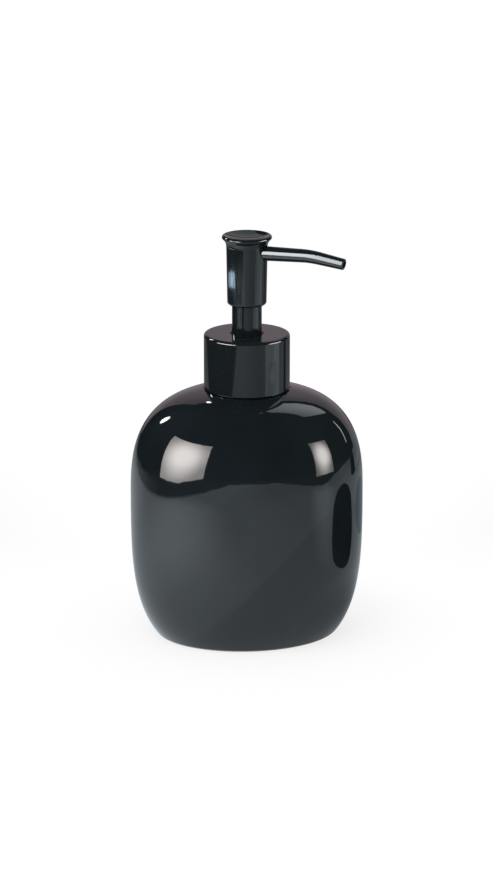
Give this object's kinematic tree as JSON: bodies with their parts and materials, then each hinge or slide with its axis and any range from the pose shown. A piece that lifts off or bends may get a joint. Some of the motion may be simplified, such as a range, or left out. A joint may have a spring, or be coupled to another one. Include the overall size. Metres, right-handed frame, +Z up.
{
  "type": "soap pump dispenser",
  "caption": "Plump oval glazed ceramic bottle with a screw-on collar and a spring-returned hand pump that draws liquid soap up a dip tube and out of a long bent spout.",
  "frame": {"origin": "on the pump axis, at the centre of the oval foot, in the plane of the table", "axes": "+Z up along the pump axis, X along the long side of the oval body, -Y towards the viewer; the spout points to +X and -Y"},
  "size_m": [0.0924, 0.0758, 0.1614],
  "materials": {
    "black_glaze": "smooth glossy black glaze over stoneware, bare at the ground foot ring",
    "black_gloss_moulding": "moulded in black, highly polished",
    "black_moulding": "moulded in black, satin",
    "natural_polypropylene": "milky undyed moulding",
    "tube_polyethylene": "milky extruded tube",
    "white_polyethylene": "waxy white moulding",
    "gasket_foam": "closed-cell foam washer",
    "spring_steel": "drawn stainless wire",
    "ball_steel": "polished stainless ball"
  },
  "bodies": {
    "bottle": {"bottle": "black_glaze", "neck_ring": "black_moulding"},
    "gasket": {"sealing_gasket": "gasket_foam"},
    "pump": {"pump_cylinder": "natural_polypropylene", "stem_guide": "black_gloss_moulding", "valve_cage": "natural_polypropylene", "return_spring": "spring_steel", "dip_tube": "tube_polyethylene"},
    "collar": {"collar_shell": "black_gloss_moulding", "closure": "black_moulding"},
    "plunger": {"plunger_stem": "white_polyethylene", "stem_plug": "white_polyethylene"},
    "piston": {"piston": "white_polyethylene"},
    "head": {"actuator_core": "black_moulding", "head_shell": "black_gloss_moulding", "spout": "black_gloss_moulding"},
    "inlet_ball": {"inlet_ball": "ball_steel"}
  },
  "joints": [
    {"name": "pump_lift", "type": "slide", "parent": "bottle", "child": "gasket", "axis": [0, 0, 1], "range_m": [0, 0.12]},
    {"name": "unscrew_rise", "type": "slide", "parent": "gasket", "child": "pump", "axis": [0, 0, 1], "range_m": [0, 0.00423]},
    {"name": "collar_turn", "type": "hinge", "parent": "pump", "child": "collar", "pos_m": [0, 0, 0.11], "axis": [0, 0, 1], "range_deg": [0, 360]},
    {"name": "pump_press", "type": "slide", "parent": "pump", "child": "plunger", "axis": [0, 0, -1], "range_m": [0, 0.01], "stiffness_N_per_m": 200, "springref_m": -0.006, "deforming": ["return_spring"]},
    {"name": "piston_lag", "type": "slide", "parent": "plunger", "child": "piston", "axis": [0, 0, 1], "range_m": [0, 0.002]},
    {"name": "head_swivel", "type": "hinge", "parent": "plunger", "child": "head", "pos_m": [0, 0, 0.14], "axis": [0, 0, 1], "continuous": true},
    {"name": "ball_lift", "type": "slide", "parent": "pump", "child": "inlet_ball", "axis": [0, 0, 1], "range_m": [0, 0.0015]}
  ],
  "couplings": [
    {"joint": "unscrew_rise", "follows": "collar_turn", "m_per_rad": 0.00067322},
    {"joint": "piston_lag", "follows": "pump_press", "ratio": 0.2}
  ]
}
